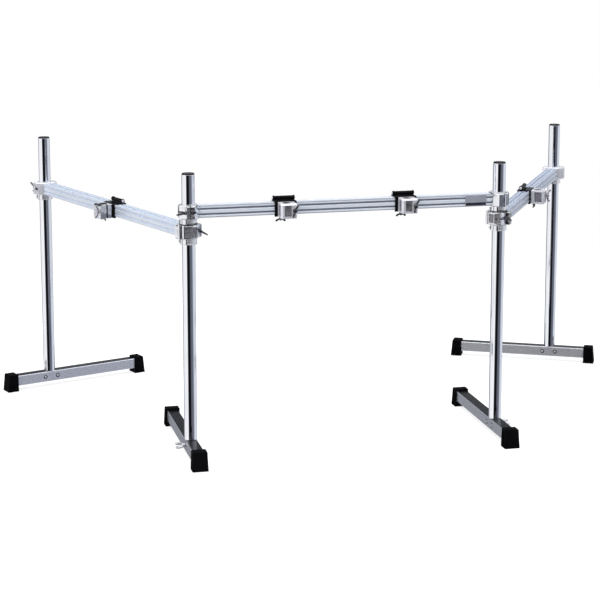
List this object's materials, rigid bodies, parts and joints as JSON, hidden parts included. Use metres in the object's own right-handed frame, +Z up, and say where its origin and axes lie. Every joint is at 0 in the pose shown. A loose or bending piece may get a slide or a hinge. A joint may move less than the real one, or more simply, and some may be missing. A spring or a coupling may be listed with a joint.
{
  "type": "drum rack frame",
  "caption": "Curved drum rack frame: square grooved bars in hinged clamps on round chrome posts, T-shaped feet with rubber boots, and sliding bar holders for accessory arms.",
  "frame": {"origin": "on the floor under the middle of the rack, the bottom centre of its box at rest", "axes": "+X along the front bar from the front left post to the front right post, +Y towards the drummer and the outer posts, +Z up"},
  "size_m": [2.0522, 1.1706, 0.8373],
  "materials": {
    "chrome_tube": "polished chrome plate on round steel tube, with black caps",
    "wing_chrome": "polished chrome plate on cast wing screws",
    "clamp_casting": "chrome plated die casting, bright on its rims and dark in its sunk panels",
    "bar_aluminium": "pale silver anodised extrusion with fine lines along it",
    "foot_steel": "satin steel square tube, brushed along its length",
    "boot_rubber": "black moulded rubber with side ribs",
    "saddle_plastic": "black moulded nylon",
    "plate_metal": "bare satin plate with a darker lower band"
  },
  "bodies": {
    "front_bar": {"front_bar": "bar_aluminium", "front_left_upper_clamp_body": "clamp_casting", "front_right_upper_clamp_body": "clamp_casting", "badge_plate": "plate_metal"},
    "left_bar": {"left_bar": "bar_aluminium", "outer_left_clamp_body": "clamp_casting", "front_left_lower_clamp_body": "clamp_casting"},
    "right_bar": {"right_bar": "bar_aluminium", "front_right_lower_clamp_body": "clamp_casting", "outer_right_clamp_body": "clamp_casting"},
    "front_left_collars": {"front_left_upper_collar": "clamp_casting", "front_left_lower_collar": "clamp_casting"},
    "front_left_post": {"front_left_post": "chrome_tube"},
    "front_left_foot": {"front_left_foot": "foot_steel", "front_left_outer_boot": "boot_rubber", "front_left_inner_boot": "boot_rubber"},
    "front_left_foot_wing_bolt": {"front_left_foot_wing_bolt": "wing_chrome"},
    "front_right_collars": {"front_right_upper_collar": "clamp_casting", "front_right_lower_collar": "clamp_casting"},
    "front_right_post": {"front_right_post": "chrome_tube"},
    "front_right_foot": {"front_right_foot": "foot_steel", "front_right_outer_boot": "boot_rubber", "front_right_inner_boot": "boot_rubber"},
    "front_right_foot_wing_bolt": {"front_right_foot_wing_bolt": "wing_chrome"},
    "outer_left_collar": {"outer_left_collar": "clamp_casting"},
    "outer_left_post": {"outer_left_post": "chrome_tube"},
    "outer_left_foot": {"outer_left_foot": "foot_steel", "outer_left_outer_boot": "boot_rubber", "outer_left_inner_boot": "boot_rubber"},
    "outer_left_foot_wing_bolt": {"outer_left_foot_wing_bolt": "wing_chrome"},
    "outer_right_collar": {"outer_right_collar": "clamp_casting"},
    "outer_right_post": {"outer_right_post": "chrome_tube"},
    "outer_right_foot": {"outer_right_foot": "foot_steel", "outer_right_outer_boot": "boot_rubber", "outer_right_inner_boot": "boot_rubber"},
    "outer_right_foot_wing_bolt": {"outer_right_foot_wing_bolt": "wing_chrome"},
    "front_left_upper_jaw": {"front_left_upper_clamp_jaw": "clamp_casting"},
    "front_left_upper_wing_bolt": {"front_left_upper_clamp_wing_bolt": "wing_chrome"},
    "front_right_upper_jaw": {"front_right_upper_clamp_jaw": "clamp_casting"},
    "front_right_upper_wing_bolt": {"front_right_upper_clamp_wing_bolt": "wing_chrome"},
    "outer_left_jaw": {"outer_left_clamp_jaw": "clamp_casting"},
    "outer_left_wing_bolt": {"outer_left_clamp_wing_bolt": "wing_chrome"},
    "front_left_lower_jaw": {"front_left_lower_clamp_jaw": "clamp_casting"},
    "front_left_lower_wing_bolt": {"front_left_lower_clamp_wing_bolt": "wing_chrome"},
    "front_right_lower_jaw": {"front_right_lower_clamp_jaw": "clamp_casting"},
    "front_right_lower_wing_bolt": {"front_right_lower_clamp_wing_bolt": "wing_chrome"},
    "outer_right_jaw": {"outer_right_clamp_jaw": "clamp_casting"},
    "outer_right_wing_bolt": {"outer_right_clamp_wing_bolt": "wing_chrome"},
    "front_bar_left_holder": {"front_bar_left_holder_saddle": "saddle_plastic", "front_bar_left_holder_body": "clamp_casting"},
    "front_bar_left_holder_wing_nut": {"front_bar_left_holder_wing_nut": "wing_chrome"},
    "front_bar_right_holder": {"front_bar_right_holder_saddle": "saddle_plastic", "front_bar_right_holder_body": "clamp_casting"},
    "front_bar_right_holder_wing_nut": {"front_bar_right_holder_wing_nut": "wing_chrome"},
    "left_bar_holder": {"left_bar_holder_saddle": "saddle_plastic", "left_bar_holder_body": "clamp_casting"},
    "left_bar_holder_wing_nut": {"left_bar_holder_wing_nut": "wing_chrome"},
    "right_bar_holder": {"right_bar_holder_saddle": "saddle_plastic", "right_bar_holder_body": "clamp_casting"},
    "right_bar_holder_wing_nut": {"right_bar_holder_wing_nut": "wing_chrome"}
  },
  "joints": [
    {"name": "left_wing_swing", "type": "hinge", "parent": "front_bar", "child": "left_bar", "pos_m": [-0.5498, -0.42833, 0.6695], "axis": [0, 0, 1], "range_deg": [-20, 70]},
    {"name": "right_wing_swing", "type": "hinge", "parent": "front_bar", "child": "right_bar", "pos_m": [0.3882, -0.42833, 0.6695], "axis": [0, 0, 1], "range_deg": [-58, 31]},
    {"name": "front_left_post_turn", "type": "hinge", "parent": "front_bar", "child": "front_left_collars", "pos_m": [-0.5498, -0.42833, 0.69825], "axis": [0, 0, 1], "continuous": true},
    {"name": "front_left_height", "type": "slide", "parent": "front_left_collars", "child": "front_left_post", "axis": [0, 0, 1], "range_m": [-0.08, 0.5]},
    {"name": "front_left_foot_turn", "type": "hinge", "parent": "front_left_post", "child": "front_left_foot", "pos_m": [-0.5498, -0.42833, 0.0515], "axis": [0, 0, 1], "continuous": true},
    {"name": "front_left_foot_wing_turn", "type": "hinge", "parent": "front_left_foot", "child": "front_left_foot_wing_bolt", "pos_m": [-0.56735, -0.42833, 0.03425], "axis": [-1, 0, 0], "continuous": true},
    {"name": "front_right_post_turn", "type": "hinge", "parent": "front_bar", "child": "front_right_collars", "pos_m": [0.3882, -0.42833, 0.69825], "axis": [0, 0, 1], "continuous": true},
    {"name": "front_right_height", "type": "slide", "parent": "front_right_collars", "child": "front_right_post", "axis": [0, 0, 1], "range_m": [-0.08, 0.5]},
    {"name": "front_right_foot_turn", "type": "hinge", "parent": "front_right_post", "child": "front_right_foot", "pos_m": [0.3882, -0.42833, 0.0515], "axis": [0, 0, 1], "continuous": true},
    {"name": "front_right_foot_wing_turn", "type": "hinge", "parent": "front_right_foot", "child": "front_right_foot_wing_bolt", "pos_m": [0.40575, -0.42833, 0.03425], "axis": [1, 0, 0], "continuous": true},
    {"name": "outer_left_post_turn", "type": "hinge", "parent": "left_bar", "child": "outer_left_collar", "pos_m": [-0.87061, 0.4531, 0.64075], "axis": [0, 0, 1], "continuous": true},
    {"name": "outer_left_height", "type": "slide", "parent": "outer_left_collar", "child": "outer_left_post", "axis": [0, 0, 1], "range_m": [-0.14, 0.5]},
    {"name": "outer_left_foot_turn", "type": "hinge", "parent": "outer_left_post", "child": "outer_left_foot", "pos_m": [-0.87061, 0.4531, 0.0515], "axis": [0, 0, 1], "continuous": true},
    {"name": "outer_left_foot_wing_turn", "type": "hinge", "parent": "outer_left_foot", "child": "outer_left_foot_wing_bolt", "pos_m": [-0.87624, 0.46973, 0.03425], "axis": [-0.3206, 0.9472, 0], "continuous": true},
    {"name": "outer_right_post_turn", "type": "hinge", "parent": "right_bar", "child": "outer_right_collar", "pos_m": [0.87691, 0.3723, 0.64075], "axis": [0, 0, 1], "continuous": true},
    {"name": "outer_right_height", "type": "slide", "parent": "outer_right_collar", "child": "outer_right_post", "axis": [0, 0, 1], "range_m": [-0.14, 0.5]},
    {"name": "outer_right_foot_turn", "type": "hinge", "parent": "outer_right_post", "child": "outer_right_foot", "pos_m": [0.87691, 0.3723, 0.0515], "axis": [0, 0, 1], "continuous": true},
    {"name": "outer_right_foot_wing_turn", "type": "hinge", "parent": "outer_right_foot", "child": "outer_right_foot_wing_bolt", "pos_m": [0.88496, 0.3879, 0.03425], "axis": [0.4587, 0.8886, 0], "continuous": true},
    {"name": "front_left_upper_jaw_open", "type": "hinge", "parent": "front_bar", "child": "front_left_upper_jaw", "pos_m": [-0.5548, -0.39733, 0.727], "axis": [0, 0, -1], "range_deg": [0, 75]},
    {"name": "front_left_upper_wing_turn", "type": "hinge", "parent": "front_left_upper_jaw", "child": "front_left_upper_wing_bolt", "pos_m": [-0.5611, -0.45783, 0.727], "axis": [-1, 0, 0], "continuous": true},
    {"name": "front_right_upper_jaw_open", "type": "hinge", "parent": "front_bar", "child": "front_right_upper_jaw", "pos_m": [0.3932, -0.45933, 0.727], "axis": [0, 0, -1], "range_deg": [0, 75]},
    {"name": "front_right_upper_wing_turn", "type": "hinge", "parent": "front_right_upper_jaw", "child": "front_right_upper_wing_bolt", "pos_m": [0.3995, -0.39883, 0.727], "axis": [1, 0, 0], "continuous": true},
    {"name": "outer_left_jaw_open", "type": "hinge", "parent": "left_bar", "child": "outer_left_jaw", "pos_m": [-0.84319, 0.46841, 0.6695], "axis": [0, 0, -1], "range_deg": [0, 75]},
    {"name": "outer_left_wing_turn", "type": "hinge", "parent": "outer_left_jaw", "child": "outer_left_wing_bolt", "pos_m": [-0.9022, 0.45363, 0.6695], "axis": [-0.342, 0.9397, 0], "continuous": true},
    {"name": "front_left_lower_jaw_open", "type": "hinge", "parent": "left_bar", "child": "front_left_lower_jaw", "pos_m": [-0.57722, -0.44363, 0.6695], "axis": [0, 0, -1], "range_deg": [0, 75]},
    {"name": "front_left_lower_wing_turn", "type": "hinge", "parent": "front_left_lower_jaw", "child": "front_left_lower_wing_bolt", "pos_m": [-0.51821, -0.42886, 0.6695], "axis": [0.342, -0.9397, 0], "continuous": true},
    {"name": "front_right_lower_jaw_open", "type": "hinge", "parent": "right_bar", "child": "front_right_lower_jaw", "pos_m": [0.35914, -0.41644, 0.6695], "axis": [0, 0, -1], "range_deg": [0, 75]},
    {"name": "front_right_lower_wing_turn", "type": "hinge", "parent": "front_right_lower_jaw", "child": "front_right_lower_wing_bolt", "pos_m": [0.4075, -0.45334, 0.6695], "axis": [-0.521, -0.8536, 0], "continuous": true},
    {"name": "outer_right_jaw_open", "type": "hinge", "parent": "right_bar", "child": "outer_right_jaw", "pos_m": [0.90598, 0.36042, 0.6695], "axis": [0, 0, -1], "range_deg": [0, 75]},
    {"name": "outer_right_wing_turn", "type": "hinge", "parent": "outer_right_jaw", "child": "outer_right_wing_bolt", "pos_m": [0.85762, 0.39732, 0.6695], "axis": [0.521, 0.8536, 0], "continuous": true},
    {"name": "front_bar_left_holder_slide", "type": "slide", "parent": "front_bar", "child": "front_bar_left_holder", "axis": [1, 0, 0], "range_m": [-0.2, 0.13]},
    {"name": "front_bar_left_holder_nut_turn", "type": "hinge", "parent": "front_bar_left_holder", "child": "front_bar_left_holder_wing_nut", "pos_m": [-0.2509, -0.49263, 0.727], "axis": [0, -1, 0], "continuous": true},
    {"name": "front_bar_right_holder_slide", "type": "slide", "parent": "front_bar", "child": "front_bar_right_holder", "axis": [1, 0, 0], "range_m": [-0.13, 0.13]},
    {"name": "front_bar_right_holder_nut_turn", "type": "hinge", "parent": "front_bar_right_holder", "child": "front_bar_right_holder_wing_nut", "pos_m": [0.11023, -0.49263, 0.727], "axis": [0, -1, 0], "continuous": true},
    {"name": "left_bar_holder_slide", "type": "slide", "parent": "left_bar", "child": "left_bar_holder", "axis": [0.342, -0.9397, 0], "range_m": [-0.38, 0.38]},
    {"name": "left_bar_holder_nut_turn", "type": "hinge", "parent": "left_bar_holder", "child": "left_bar_holder_wing_nut", "pos_m": [-0.75726, -0.04632, 0.6695], "axis": [-0.9397, -0.342, 0], "continuous": true},
    {"name": "right_bar_holder_slide", "type": "slide", "parent": "right_bar", "child": "right_bar_holder", "axis": [0.521, 0.8536, 0], "range_m": [-0.34, 0.41]},
    {"name": "right_bar_holder_nut_turn", "type": "hinge", "parent": "right_bar_holder", "child": "right_bar_holder_wing_nut", "pos_m": [0.67466, -0.08244, 0.6695], "axis": [0.8536, -0.521, 0], "continuous": true}
  ]
}
